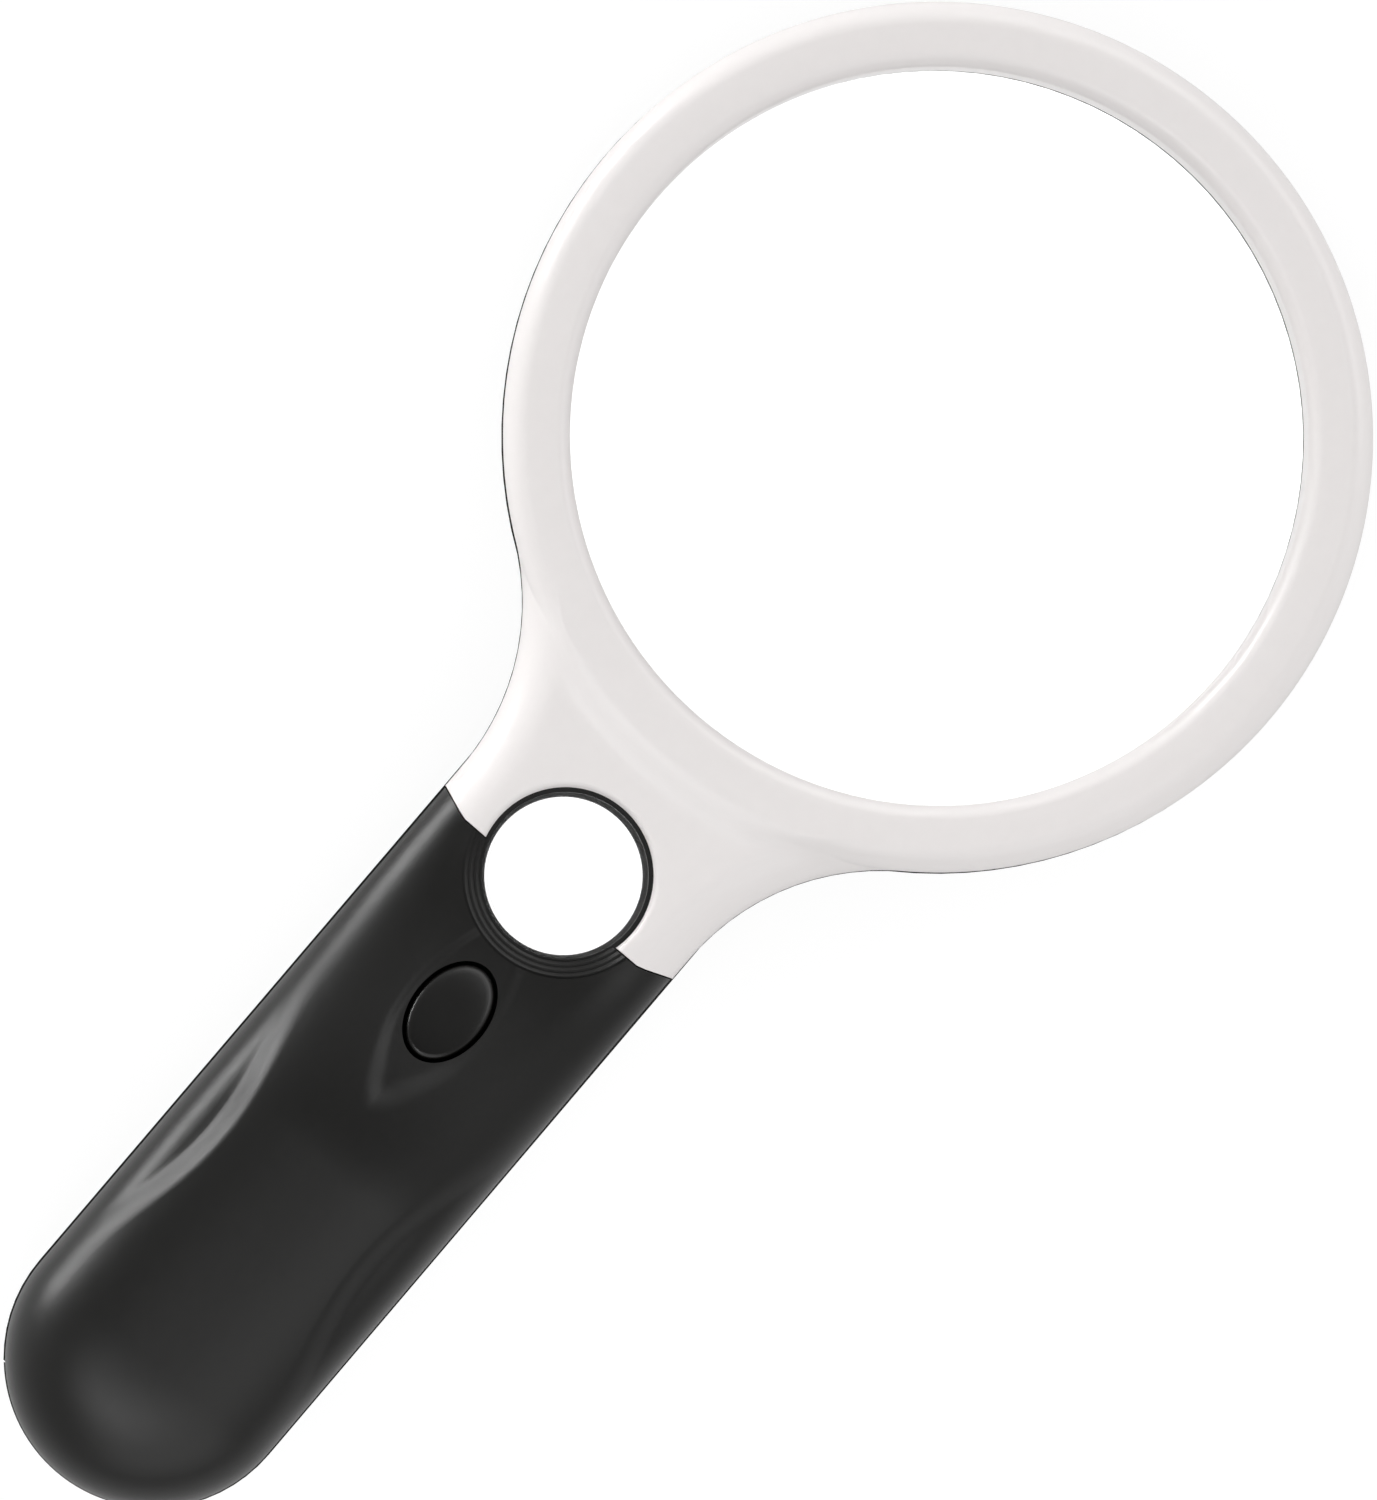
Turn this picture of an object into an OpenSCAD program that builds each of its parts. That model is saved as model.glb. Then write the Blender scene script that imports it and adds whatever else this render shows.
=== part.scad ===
// Illuminated hand magnifier with a large lens in a ring, a small strong lens in the neck,
// and a battery handle with a push button. It lies on its back, face up (+Z), with the ring
// towards +Y. Millimetres. Everything is laid out from the main lens's centre, and "s" is the
// distance from there down the handle.

/* [Main lens and ring] */
// Radius of the clear view through the main lens
view_r = 38.1; // [30:0.1:50]
// How far the lens edge sits under the ring
lens_grip = 1.1; // [0.8:0.1:2]
// Thickness of the main lens at its edge
lens_edge_t = 3; // [2:0.1:4]
// Height that each face of the main lens bulges
lens_bulge = 5.4; // [3:0.1:7]
// Width of the ring from the clear view to its outside
ring_w = 7; // [6:0.1:10]
// Height of the ring's face over the main lens's front
lens_guard = 0.6; // [0.3:0.1:2]
// Height of the main lens's back over the table
lens_clearance = 3.6; // [2:0.1:6]
// Widening of the opening under the main lens, down to the back
mouth_flare = 1.2; // [0.6:0.1:1.5]
// Width of the bevel round the view
view_bevel = 1.5; // [0.8:0.1:2]
// Height of that bevel
view_bevel_h = 2; // [1:0.1:3]
// Width of the rounding on the ring's outer edge
ring_round_w = 2.5; // [1.5:0.1:3]
// Height of the rounding on the ring's outer edge
ring_round_h = 3.2; // [2:0.1:4]

/* [Shells] */
// Wall of the plastic shells
wall = 1.8; // [1.4:0.1:2.2]
// Step from the rear housing in to the front shells
ledge = 0.2; // [0.1:0.05:0.4]
// Draft of the rear housing's side, from the joint to the rounding
rear_draft = 0.9; // [0.4:0.1:1.2]
// Height of the rounding on the rear housing's edge
rear_round_h = 5; // [3:0.1:6]
// Width of that rounding
rear_round_w = 3.7; // [2:0.1:4.5]
// Radius of the hollow curves between ring and handle
neck_r = 25.8; // [18:0.1:35]
// How far the neck's face lies under the ring's face
neck_step = 1; // [0.5:0.1:2]
// Width of the rounding along the neck's sides
neck_round_w = 5; // [3:0.1:7]
// Reach of the fillet from the ring's rim on to the neck
rim_fillet_w = 5; // [2:0.1:6]
// Gap between the bezel and the handle cover
seam = 0.15; // [0.1:0.05:0.3]
// Running clearance round parts that fit in each other
fit = 0.1; // [0.05:0.05:0.2]

/* [Small lens] */
// Distance from the ring's outside to the small lens's centre
small_gap = 14.4; // [13.5:0.1:20]
// Radius of the clear view through the small lens
small_view_r = 8.2; // [7:0.1:9]
// How far the small lens's edge sits in its holder
small_grip = 1.3; // [1:0.1:2]
// Thickness of the small lens at its edge
small_edge_t = 2.7; // [2:0.1:3.5]
// Height that each face of the small lens bulges
small_bulge = 2.3; // [1:0.1:3]
// Height of the small lens's lower edge over the table
small_seat_z = 6.3; // [5:0.1:7]
// Radius of the holder's mouth
small_mouth_r = 8.6; // [8.4:0.05:9]
// Radius of the round opening in the front shells
small_open_r = 8.85; // [8.7:0.05:9.6]
// Width of each of the three steps round the small lens in the handle cover
step_w = 0.6; // [0.4:0.05:0.8]
// Depth of each of those steps
step_h = 0.45; // [0.3:0.05:0.6]
// Wall of the tube round the small lens
small_tube_t = 1.4; // [1:0.1:2]

/* [Battery cells] */
// Diameter of a cell
cell_d = 10.5; // [9.5:0.1:11]
// Length of a cell with its contact nub
cell_len = 44.5; // [40:0.1:48]
// Distance between the two lower cells' centrelines
cell_spread = 15; // [13:0.1:16]
// Room beside the lower cells
cell_side_room = 0.95; // [0.8:0.05:1.5]
// Room under the lower cells, over the door
cell_under_room = 0.8; // [0.6:0.1:1.2]
// Room over the top cell
cell_over_room = 1.7; // [1.5:0.1:2.5]
// Room between two cells that lie against each other
cell_gap = 0.2; // [0.1:0.05:0.4]
// Length of a contact spring under load
spring_len = 3; // [2.5:0.1:5]
// Thickness of the contact plates
plate_t = 0.3; // [0.25:0.05:0.5]
// Diameter of the spring wire
spring_wire_d = 0.7; // [0.5:0.05:0.9]

/* [Handle] */
// Length of the handle behind the cells
tail_room = 7.2; // [7:0.1:10]
// Distance over which the handle rises from the neck to its full height
swell_len = 34; // [30:0.5:40]
// Side curve of the dome: larger is squarer
dome_n = 2.5; // [2:0.1:3]
// Crown curve of the dome: larger is squarer
dome_m = 3.2; // [2:0.1:4]
// Half the length of the finger scoops
scoop_half_len = 19; // [15:0.5:22]
// Distance from the button's centre to the middle of the finger scoops
scoop_gap = 24.8; // [22:0.1:28]
// Width of the scoops' gentle outer slope at their middle
scoop_slope_w = 3.9; // [3:0.1:4.2]
// Depth of the finger scoops
scoop_depth = 0.9; // [0.6:0.1:1.6]
// Width of the scoops' steep inner slope
scoop_wall_w = 2.4; // [1.6:0.1:2.6]

/* [Button and switch] */
// Distance from the small lens's centre to the button's centre
button_gap = 18.4; // [17.5:0.1:22]
// Distance from the button's centre to the cells
switch_room = 7.6; // [7.5:0.1:10]
// Width of the button
button_w = 7.4; // [6:0.1:8.5]
// Length of the button
button_len = 11; // [9:0.1:12]
// Gap round the button
button_clear = 0.4; // [0.3:0.05:0.6]
// Travel of the button
button_travel = 1.5; // [1:0.1:2]
// Width of the tear-shaped recess round the button
recess_w = 10.6; // [10:0.1:12]
// Depth of that recess
recess_depth = 0.5; // [0.4:0.1:1]
// Width of the slope down into that recess
recess_slope_w = 1.4; // [1:0.1:2]
// Side of the square switch body
switch_w = 8; // [7:0.1:8.5]
// Height of the switch body
switch_h = 5.5; // [5:0.1:6]
// Side of the square switch stem
stem_w = 2.6; // [2:0.1:3]
// Thickness of the circuit boards
board_t = 1.2; // [1:0.1:1.6]
// Height of the circuit board over the floor of the housing
board_lift = 2.4; // [2:0.1:3]

/* [LEDs] */
// Diameter of an LED
led_d = 5; // [3:0.5:5]
// Length of an LED
led_len = 8.4; // [7:0.1:8.6]
// Angle between two LEDs, seen from the main lens's centre
led_angle = 11; // [10:0.5:12]
// Distance of the LEDs outside the edge of the main lens
led_gap = 6; // [5.8:0.1:7]
// Thickness of the clear window
window_t = 1.2; // [1:0.1:1.5]
// How far the window lies under the housing's back
window_inset = 0.3; // [0.2:0.1:0.5]

/* [Battery door] */
// Width of the battery door's plate
door_w = 20.8; // [19:0.1:21.5]
// Width of the tongues along the door's sides
tongue_w = 1.2; // [0.8:0.1:1.4]
// Thickness of those tongues
tongue_t = 0.7; // [0.6:0.1:0.8]
// Clearance round the door
door_gap = 0.15; // [0.1:0.05:0.2]
// Number of ribs in the door's thumb grip
grip_ribs = 6; // [4:1:8]
// Distance between those ribs
grip_pitch = 1.6; // [1.4:0.1:2]

/* [Leads and screws] */
// Diameter of the leads
lead_d = 1.1; // [0.8:0.1:1.2]
// Diameter of a screw's shank
screw_d = 2.2; // [2:0.1:2.5]
// Diameter of a screw's head
screw_head_d = 4; // [3.6:0.1:4.2]
// Height of a screw's head
screw_head_h = 1.6; // [1.2:0.1:2]
// Depth of the heads under the back of the housing
screw_sink = 4; // [3:0.1:4.5]

/* [Hidden] */
$fn = 96;
eps = 0.01;

// Heights over the table
joint_z = lens_bulge + lens_clearance + lens_edge_t;   // joint between front and rear shells
lens_z = joint_z - lens_edge_t;                        // lower edge of the main lens
face_z = joint_z + lens_bulge + lens_guard;            // face of the ring
neck_z = face_z - neck_step;                           // face of the neck
low_cell_z = wall + cell_under_room + cell_d / 2;
top_cell_rise = sqrt(pow(cell_d + cell_gap, 2) - pow(cell_spread / 2, 2));
top_cell_z = low_cell_z + top_cell_rise;
crown_z = top_cell_z + cell_d / 2 + cell_over_room + wall;

// Widths and distances down the handle
lens_r = view_r + lens_grip;
ring_r = view_r + ring_w;
half_w = cell_spread / 2 + cell_d / 2 + cell_side_room + wall;
cover_w = half_w - ledge;
small_s = ring_r + small_gap;
seam_s = small_s + 2.3;
button_s = small_s + button_gap;
cell_s0 = button_s + switch_room;
cell_s1 = cell_s0 + spring_len + cell_len;
reach = cell_s1 + tail_room;
tail_s = reach - half_w;
scoop_s = button_s + scoop_gap;
neck_bite = 0.05;   // the hollow curves cross the sides of ring and handle, and don't just touch them
neck_x = half_w + neck_r - neck_bite;
neck_s = sqrt(pow(ring_r + neck_r - neck_bite, 2) - pow(neck_x, 2));
neck_angle = atan(neck_x / neck_s);
bar_s0 = neck_s - 2 * sqrt(2 * neck_r * neck_bite);
lens_y = (reach - ring_r) / 2;

small_lens_r = small_view_r + small_grip;
tube_r = small_lens_r + fit + small_tube_t;
holder_z = small_seat_z + small_edge_t;
board_z = wall + board_lift;
switch_top_z = board_z + board_t + switch_h;
stem_in = 2;        // how far the stem reaches into the switch
led_r = lens_r + led_gap;
led_tip_z = window_inset + window_t + 0.2;
led_base_z = led_tip_z + led_len;
bulkhead_t = 1.6;
web_angle = 6;
door_s0 = cell_s0;
end_cap_s = cell_s1 + plate_t + bulkhead_t;
tail_screw_s = end_cap_s + 0.5;
tail_post_z = joint_z - 4;
tongue_s1 = tail_s + 6.8;
post_d = 1.8 * screw_d;
post_room = 1.5;    // between the posts and the tube of the small lens
post_edge = 0.3;    // from the posts to the housing's outer face, inside its wall
neck_screw_x = half_w - wall - post_d / 2 - fit;
neck_screw_s = small_s - sqrt(pow(tube_r + post_d / 2 + post_room, 2) - pow(neck_screw_x, 2));
screw_len = neck_z - screw_sink + screw_head_h - 2;
board_w = 2 * (half_w - wall - 3.4);
board_s0 = small_s + tube_r + 0.6;
board_s1 = cell_s0 - plate_t - bulkhead_t - 0.2;
resistor_x = switch_w / 2 + 2.6;
resistor_lift = 1.4;
led_window_w = led_d + 1.2;
led_board_w = led_d + 1;
led_board_angle = led_angle + 8;
low_x = cell_spread / 2;
contact_w = 5.6;
top_contact_w = 7.4;
valley_x = low_x - 0.3;
valley_z = low_cell_z + cell_d / 2 + lead_d / 2 + 0.25;
lead_end_x = board_w / 2 - 1.1;
button_rise = 0.1;  // how far the button stands over the crown
button_top_z = top_at(button_s) + button_rise;
button_under_z = top_at(button_s - button_len / 2) - wall - 2.5;

function smooth(x) = let (c = max(0, min(1, x))) c * c * (3 - 2 * c);
function mix(a, b, x) = a + (b - a) * x;

// ---------------------------------------------------------------- outlines
// A side profile is a list of [inset from the outline, height], from the bottom up.
function rear_profile(extra, floor_z) =
    let (w = rear_round_w, h = rear_round_h)
    concat(
        [for (a = [0:15:90]) let (z = h * (1 - cos(a)), i = rear_draft + w * (1 - sin(a)))
            if (z > floor_z + 0.2 || a == 0) [i + extra, a == 0 ? floor_z : z]],
        [[extra, joint_z]]);

// Rounding of the neck's face, shrunk by extra on all sides
function neck_profile(extra) =
    [for (a = [0:10:90]) [ledge + extra + neck_round_w * (1 - cos(a)),
        joint_z + (neck_z - extra - joint_z) * sin(a)]];

// Right half of a profile's section, closed at its axis, for a body of the given half width
function half_section(profile, w) =
    concat([[0, profile[0][1]]], [for (p = profile) [w - p[0], p[1]]],
        [[0, profile[len(profile) - 1][1]]]);

// What a hollow curve of radius neck_r cuts away, past the profile at the bottom and the top
function cutter_section(profile) =
    let (first = profile[0], last = profile[len(profile) - 1])
    concat([[0, first[1] - 1], [neck_r + first[0], first[1] - 1]],
        [for (p = profile) [neck_r + p[0], p[1]]],
        [[neck_r + last[0], last[1] + 1], [0, last[1] + 1]]);

// The wedge between the ring and the handle, with its two hollow curves
module neck_form(profile, z0, z1) {
    difference() {
        translate([0, 0, z0]) linear_extrude(z1 - z0)
            polygon([[0, 0], [neck_x, -neck_s], [-neck_x, -neck_s]]);
        for (side = [-1, 1])
            translate([side * neck_x, -neck_s, 0])
                rotate_extrude() polygon(cutter_section(profile));
    }
}

module handle_bar(profile, from_s, to_s) {
    translate([0, -from_s, 0]) rotate([90, 0, 0]) linear_extrude(to_s - from_s)
        for (side = [0, 1]) mirror([side, 0]) polygon(half_section(profile, half_w));
}

module handle_end(profile) {
    translate([0, -tail_s, 0]) rotate([0, 0, 180])
        rotate_extrude(angle = 180) polygon(half_section(profile, half_w));
}

// The whole outline: ring, neck, handle and its round end
module body_form(profile) {
    z0 = profile[0][1];
    z1 = profile[len(profile) - 1][1];
    rotate_extrude() polygon(half_section(profile, ring_r));
    neck_form(profile, z0, z1);
    handle_bar(profile, bar_s0, tail_s);
    handle_end(profile);
}

module placed() translate([0, lens_y, 0]) children();

module at_s(s) translate([0, -s, 0]) children();

// A polygon of points round an oval
function oval(a, b, n = 48) = [for (i = [0:n - 1]) [a * cos(i * 360 / n), b * sin(i * 360 / n)]];

// A bent slot that follows the edge of the main lens, over the three LEDs
module led_slot(width, z0, z1) {
    translate([0, 0, z0]) rotate([0, 0, -90 - led_angle])
        rotate_extrude(angle = 2 * led_angle)
            translate([led_r - width / 2, 0]) square([width, z1 - z0]);
    for (side = [-1, 1]) rotate([0, 0, side * led_angle])
        translate([0, -led_r, z0]) cylinder(d = width, h = z1 - z0);
}

// ---------------------------------------------------------------- lens bezel
module bezel_ring() {
    outer = concat([[ring_r - ledge, joint_z]],
        [for (a = [0:10:90]) [ring_r - ring_round_w * (1 - cos(a)),
            face_z - ring_round_h * (1 - sin(a))]]);
    bevel = [for (a = [0:15:90]) [view_r + view_bevel * (1 - sin(a)),
        face_z - view_bevel_h * (1 - cos(a))]];
    channel_z = face_z - wall;
    rotate_extrude() difference() {
        polygon(concat(outer, bevel, [[view_r, joint_z]]));
        polygon([[view_r + wall, joint_z - 1], [view_r + wall, channel_z - 0.4],
            [view_r + wall + 0.6, channel_z], [ring_r - ring_round_w - 0.6, channel_z],
            [ring_r - wall - ledge, face_z - ring_round_h - 0.4],
            [ring_r - wall - ledge, joint_z - 1]]);
    }
}

// Concave fillet from the ring's rim down to the face of the neck
module rim_fillet() {
    rim_r = ring_r - 0.7 * ring_round_w;
    intersection() {
        rotate([0, 0, -90 - neck_angle]) rotate_extrude(angle = 2 * neck_angle)
            polygon(concat([[rim_r, neck_z - 0.5]],
                [for (i = [0:8]) [rim_r + rim_fillet_w * i / 8,
                    neck_z + 0.75 * neck_step * pow(1 - i / 8, 2)]],
                [[rim_r + rim_fillet_w, neck_z - 0.5]]));
        neck_form([for (z = [neck_z - 1, face_z]) [ledge + neck_round_w * 0.7, z]], neck_z - 1, face_z);
    }
}

// Everything on the ring's side of the wavy joint line with the handle cover
module bezel_side(gap) {
    x1 = half_w - 2.9;
    edge_s = small_s + 0.9 + gap;
    translate([0, 0, joint_z - 2]) linear_extrude(crown_z)
        polygon([[-half_w - 1, -edge_s], [-half_w + 0.2, -edge_s], [-x1, -seam_s - gap + 0.3],
            [-x1 + 1, -seam_s - gap], [x1 - 1, -seam_s - gap], [x1, -seam_s - gap + 0.3],
            [half_w - 0.2, -edge_s], [half_w + 1, -edge_s], [2 * half_w, 0], [-2 * half_w, 0]]);
}

module lens_bezel() color("whitesmoke") placed() difference() {
    union() {
        bezel_ring();
        intersection() {
            difference() {
                union() {
                    neck_form(neck_profile(0), joint_z, neck_z);
                    handle_bar(neck_profile(0), bar_s0, seam_s + 1);
                }
                neck_form(neck_profile(wall), joint_z - eps, neck_z - wall);
                handle_bar(concat([[ledge + wall, joint_z - 1]], neck_profile(wall)),
                    bar_s0, seam_s + 2);
                translate([0, 0, joint_z - 1]) cylinder(r = ring_r - wall, h = ring_r);
            }
            bezel_side(0);
        }
        rim_fillet();
        for (side = [-1, 1])
            translate([side * neck_screw_x, -neck_screw_s, joint_z + fit])
                cylinder(d = post_d, h = neck_z - joint_z - 1);
    }
    at_s(small_s) {
        translate([0, 0, joint_z - 1]) cylinder(r = small_open_r, h = face_z);
        translate([0, 0, neck_z - 0.5])
            cylinder(r1 = small_open_r, r2 = small_open_r + 1, h = 0.5 + eps);
        translate([0, 0, joint_z - 1])
            cylinder(r = tube_r + fit, h = neck_z - wall - joint_z + 1);
    }
    for (side = [-1, 1])
        translate([side * neck_screw_x, -neck_screw_s, joint_z - 1])
            cylinder(d = screw_d, h = neck_z - joint_z - 0.6);
}

// ---------------------------------------------------------------- handle cover
// The cover is a shell whose ring-shaped contour lines run down one side, round the end and
// back up the other side. Each line keeps to a feature: the joint, the crease and the edge of
// the finger scoop, the edge of the button's recess, and the crown.
function swell(s) = smooth((s - small_s - 4.4) / swell_len);
function top_at(s) = mix(neck_z, crown_z, swell(s));
function flat_at(s) = (cover_w - neck_round_w) * (1 - smooth((s - small_s) / swell_len));
function dome(x, s, shrink) =
    let (w = cover_w - shrink, flat = min(flat_at(s), w - 1),
        part = max(0, min(1, (abs(x) - flat) / (w - flat))),
        n = mix(2, dome_n, swell(s)), m = mix(2, dome_m, swell(s)))
    joint_z + (top_at(s) - shrink - joint_z) * pow(1 - pow(part, n), 1 / m);

// How much of the finger scoop is left at a distance down the handle
function scoop(s) = let (u = (s - scoop_s) / scoop_half_len) abs(u) < 1 ? pow(1 - u * u, 2) : 0;
function crease_x(s) = cover_w - 1.1 - (scoop_slope_w - 1.1) * scoop(s);
function edge_x(s) = crease_x(s) - scoop_wall_w;
function scoop_drop(x, s) =
    let (c = crease_x(s), e = edge_x(s))
    scoop_depth * scoop(s) * (x <= e ? 0 : x < c ? smooth((x - e) / (c - e))
        : max(0, (cover_w - x) / (cover_w - c)));

// The tear-shaped recess narrows to a point down the handle
function recess_x(s) =
    let (u = (s - button_s) / (s < button_s ? 17 : 15))
    max(1, recess_w / 2 * (abs(u) < 1 ? pow(1 - u * u, 1.3) : 0));
function recess_drop(x, s) =
    recess_depth * smooth((recess_x(s) - 1) / 2) * smooth((recess_x(s) - x) / recess_slope_w);

function cover_point(x, s, shrink) =
    let (outer_x = x * cover_w / (cover_w - shrink))
    [x, dome(x, s, shrink) - scoop_drop(outer_x, s)
        - max(0, recess_drop(x, s) - (shrink > 0 ? 0.4 : 0))];

// Distance of contour line k from the centreline
outer_parts = [0, 0.03, 0.1, 0.22, 0.42, 0.7, 1];
function outer_x(k, s) =
    let (c = crease_x(s), e = edge_x(s), r = recess_x(s))
    k <= 6 ? mix(cover_w, c, outer_parts[k])
    : k <= 9 ? mix(c, e, (k - 6) / 3)
    : k <= 13 ? mix(e, r, (k - 9) / 4)
    : mix(r, 0.1, (k - 13) / 4);
inner_parts = [1, 0.995, 0.97, 0.92, 0.84, 0.7, 0.5, 0.3, 0.01];
function inner_x(k, s) = (cover_w - wall) * inner_parts[k];

cover_s0 = small_s - 2;
cover_stations = 30;
end_steps = 12;

// One contour line: down the right side, round the end, up the left side
function contour(k, outer) =
    let (shrink = outer ? 0 : wall)
    concat(
        [for (i = [0:cover_stations])
            let (s = mix(cover_s0, tail_s, i / cover_stations),
                x = outer ? outer_x(k, s) : inner_x(k, s), p = cover_point(x, s, shrink))
            [p[0], -s, p[1]]],
        [for (i = [1:end_steps - 1])
            let (a = -180 * i / end_steps, x = outer ? outer_x(k, tail_s) : inner_x(k, tail_s),
                p = cover_point(x, tail_s, shrink))
            [x * cos(a), -tail_s + x * sin(a), p[1]]],
        [for (i = [cover_stations:-1:0])
            let (s = mix(cover_s0, tail_s, i / cover_stations),
                x = outer ? outer_x(k, s) : inner_x(k, s), p = cover_point(x, s, shrink))
            [-p[0], -s, p[1]]]);

module cover_shell() {
    outer_lines = [for (k = [0:17]) contour(k, true)];
    inner_lines = [for (k = [0:len(inner_parts) - 1]) contour(k, false)];
    lines = concat([for (k = [17:-1:0]) outer_lines[k]], inner_lines);
    n = len(lines[0]);
    rows = len(lines);
    half = floor(n / 2);
    outer_rows = 17;
    inner_rows = len(inner_parts);
    function id(row, i) = row * n + i;
    faces = concat(
        [for (row = [0:rows - 2], i = [0:n - 2]) each [
            [id(row, i), id(row + 1, i), id(row + 1, i + 1)],
            [id(row, i), id(row + 1, i + 1), id(row, i + 1)]]],
        // the crown, closed from side to side
        [for (i = [0:half - 2]) each [
            [id(0, i), id(0, i + 1), id(0, n - 2 - i)],
            [id(0, i), id(0, n - 2 - i), id(0, n - 1 - i)]]],
        [for (i = [0:half - 2]) each [
            [id(rows - 1, i), id(rows - 1, n - 2 - i), id(rows - 1, i + 1)],
            [id(rows - 1, i), id(rows - 1, n - 1 - i), id(rows - 1, n - 2 - i)]]],
        [[id(0, half - 1), id(0, half), id(0, half + 1)]],
        [[id(rows - 1, half - 1), id(rows - 1, half + 1), id(rows - 1, half)]],
        // the open end at the neck, from the outer lines to the inner ones
        [for (end = [0, 1], k = [0:outer_rows - 1]) let (i = end * (n - 1),
            out = outer_rows - k, in = outer_rows + 1 + floor(k / 2),
            tri = [id(out, i), id(in, i), id(out - 1, i)])
            end == 1 ? tri : [tri[2], tri[1], tri[0]]],
        [for (end = [0, 1], k = [0:inner_rows - 2]) let (i = end * (n - 1),
            out = outer_rows - 2 * k - 2, in = outer_rows + 1 + k,
            tri = [id(out, i), id(in, i), id(in + 1, i)])
            end == 1 ? tri : [tri[2], tri[1], tri[0]]],
        [[id(0, 0), id(rows - 1, n - 1), id(rows - 1, 0)], [id(0, 0), id(0, n - 1), id(rows - 1, n - 1)]]);
    polyhedron([for (line = lines) each line], faces);
}

module handle_cover() color([0.13, 0.13, 0.13]) placed() difference() {
    union() {
        cover_shell();
        at_s(tail_screw_s) translate([0, 0, joint_z + fit])
            cylinder(d = post_d, h = (crown_z - joint_z) * 0.62);
    }
    bezel_side(seam);
    at_s(small_s) {
        translate([0, 0, joint_z]) cylinder(r = small_open_r, h = crown_z);
        for (i = [1:3]) translate([0, 0, neck_z - step_h * (4 - i)])
            cylinder(r = small_open_r + step_w * i, h = crown_z);
        translate([0, 0, joint_z - 1]) cylinder(r = tube_r + fit, h = neck_z - wall - joint_z + 1);
    }
    at_s(button_s) translate([0, 0, joint_z]) linear_extrude(crown_z)
        polygon(oval(button_w / 2 + button_clear, button_len / 2 + button_clear));
    at_s(tail_screw_s) translate([0, 0, joint_z - 1])
        cylinder(d = screw_d, h = tail_post_z - screw_head_h + screw_len - joint_z + 1.2);
}

// ---------------------------------------------------------------- rear housing
// End wall of the cell bay, with a tab on each side behind the top cell
module bulkhead(s, floor_z) {
    side = half_w - wall + 0.2;
    intersection() {
        translate([0, -s, 0]) rotate([90, 0, 0]) linear_extrude(bulkhead_t) {
            polygon([[-side, joint_z], [-side, floor_z + 2.5], [-side + 1.6, floor_z],
                [side - 1.6, floor_z], [side, floor_z + 2.5], [side, joint_z]]);
            for (x = [2.6, -4.8]) translate([x, joint_z - 1]) square([2.2, top_cell_z + 2 - joint_z + 1]);
        }
        translate([0, -tail_s, 0]) cylinder(r = 2 * half_w, h = crown_z);
    }
}

// The same at the tail, inside the round end
module tail_bulkhead() intersection() {
    bulkhead(cell_s1 + plate_t, wall + tongue_t + 0.5);
    translate([0, -tail_s, 0]) cylinder(r = half_w - wall + 0.2, h = crown_z);
}

// What the door's plate and tongues sweep as they slide off the end of the handle
module door_space() {
    half = door_w / 2 + door_gap;
    translate([0, -door_s0 + door_gap, 0]) rotate([90, 0, 0]) linear_extrude(reach)
        polygon([[-half, -1], [half, -1], [half, wall], [half + tongue_w, wall],
            [half + tongue_w, wall + tongue_t + 0.4], [-half - tongue_w, wall + tongue_t + 0.4],
            [-half - tongue_w, wall], [-half, wall]]);
}

// The rounded end of the handle below the joint, which belongs to the door
module end_cap_space(gap, z0, z1) {
    translate([-half_w - 1, -reach - 1, z0]) cube([2 * half_w + 2, reach + 1 - end_cap_s - gap, z1 - z0]);
}

// The room inside the shells, below the joint: the channel round the ring, then a web on each
// side, and the neck and handle in one
module rear_room() {
    seat_r = lens_r + fit + wall;
    side = concat(rear_profile(wall, wall), [[wall, joint_z + 1]]);
    open_angle = 360 - 2 * (neck_angle + web_angle);
    rotate([0, 0, -90 - open_angle / 2 + 180]) rotate_extrude(angle = open_angle) difference() {
        polygon(half_section(side, ring_r));
        translate([-1, 0]) square([seat_r + 1, joint_z + 2]);
    }
    difference() {
        union() {
            neck_form(side, wall, joint_z + 1);
            handle_bar(side, bar_s0, tail_s);
            handle_end(side);
        }
        translate([0, 0, -1]) cylinder(r = seat_r, h = joint_z + 3);
    }
}

module at_neck_screws() {
    for (side = [-1, 1]) translate([side * neck_screw_x, -neck_screw_s, 0]) children();
}

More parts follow.
